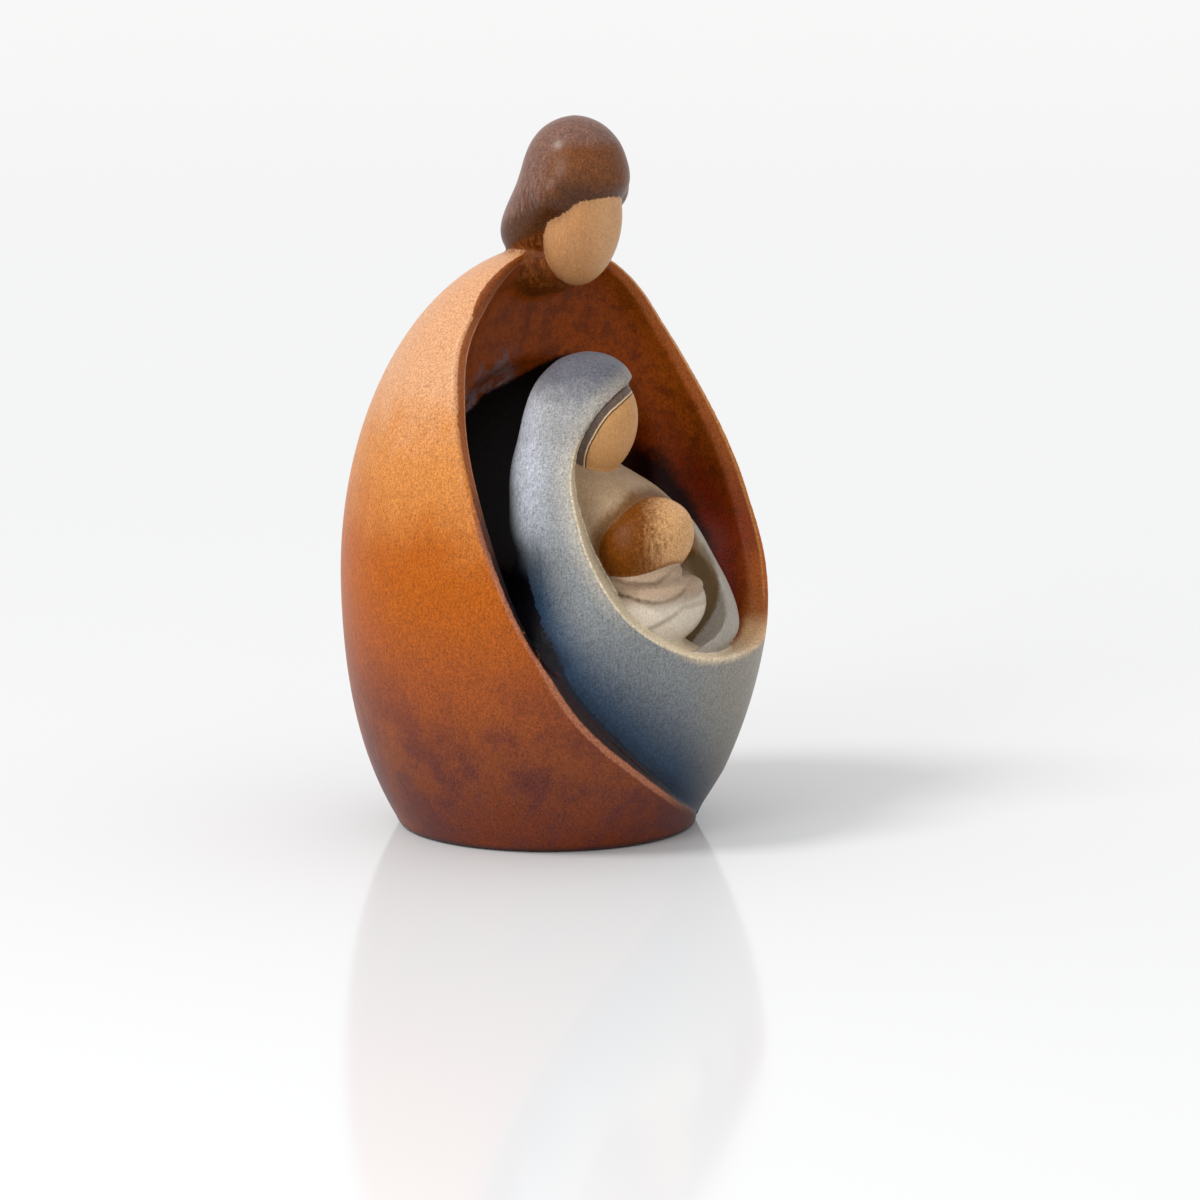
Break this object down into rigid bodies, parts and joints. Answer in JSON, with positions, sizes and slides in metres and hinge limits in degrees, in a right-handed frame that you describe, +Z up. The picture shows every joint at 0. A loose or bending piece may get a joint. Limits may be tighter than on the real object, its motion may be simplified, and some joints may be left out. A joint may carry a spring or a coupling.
{
  "type": "wooden holy family statue",
  "caption": "Carved and stained wooden table-top statue: an egg-shaped standing figure whose cloak opens round a seated mother and child, with plain oval faces and a flat base to stand on.",
  "frame": {"origin": "centre of the flat underside of the turned body, on the surface that it stands on", "axes": "+Z up to the standing figure's head, -Y towards the front with the opening of the cloak, +X to the viewer's right of someone who faces the front"},
  "size_m": [0.0902, 0.0889, 0.15],
  "materials": {
    "carved_wood": "stained in orange-brown, slate blue and tan, with a satin to glossy clear coat"
  },
  "bodies": {
    "root": {"holy_family_carving": "carved_wood"}
  },
  "joints": []
}
